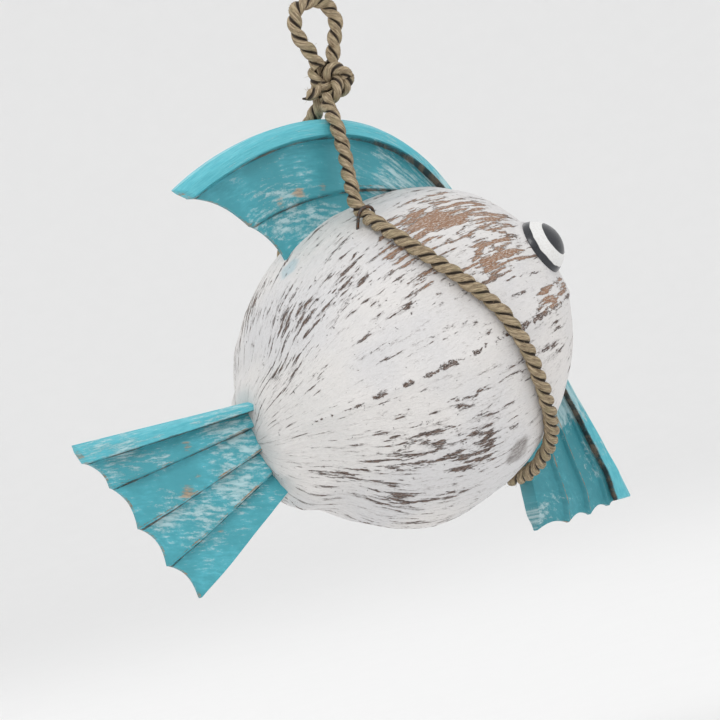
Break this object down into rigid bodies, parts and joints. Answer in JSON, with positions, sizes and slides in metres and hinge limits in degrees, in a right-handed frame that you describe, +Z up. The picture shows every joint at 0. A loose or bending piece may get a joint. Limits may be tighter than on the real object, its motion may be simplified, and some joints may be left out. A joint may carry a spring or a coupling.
{
  "type": "hanging fish ornament",
  "caption": "Hanging puffer-fish ornament: carved coconut-husk body with painted wooden fins and domed eyes, carried in a knotted rope harness.",
  "frame": {"origin": "the point inside the top of the hanging loop where a hook carries the ornament, with the fish hanging at its balance below it", "axes": "+X towards the fish's head, +Y to the fish's left, +Z up"},
  "size_m": [0.3475, 0.1875, 0.3198],
  "materials": {
    "whitewashed_husk": "matte",
    "nut_shell": "matte",
    "turquoise_wood": "matte",
    "bamboo": "matte",
    "eye_paint": "gloss",
    "wire": "satin",
    "seagrass_rope": "matte"
  },
  "bodies": {
    "hook_loop": {"hanging_loop": "seagrass_rope"},
    "knot": {"top_knot": "seagrass_rope", "knot_tail": "seagrass_rope"},
    "fish": {"coconut_husk": "whitewashed_husk", "nut_shell": "nut_shell", "dorsal_fin": "turquoise_wood", "tail_fin": "turquoise_wood", "ventral_fin": "turquoise_wood", "dorsal_dowels": "bamboo", "tail_dowels": "bamboo", "ventral_dowels": "bamboo", "eye_right": "eye_paint", "eye_left": "eye_paint", "eye_pins": "bamboo", "rope_staple_right": "wire", "rope_staple_left": "wire", "harness_rope": "seagrass_rope"}
  },
  "joints": [
    {"name": "swing", "type": "hinge", "parent": "hook_loop", "child": "knot", "pos_m": [0, 0, -0.042], "axis": [0, 1, 0], "range_deg": [-50, 50]},
    {"name": "twist", "type": "hinge", "parent": "knot", "child": "fish", "pos_m": [0, 0, -0.042], "axis": [0, 0, 1], "range_deg": [-180, 180]}
  ]
}
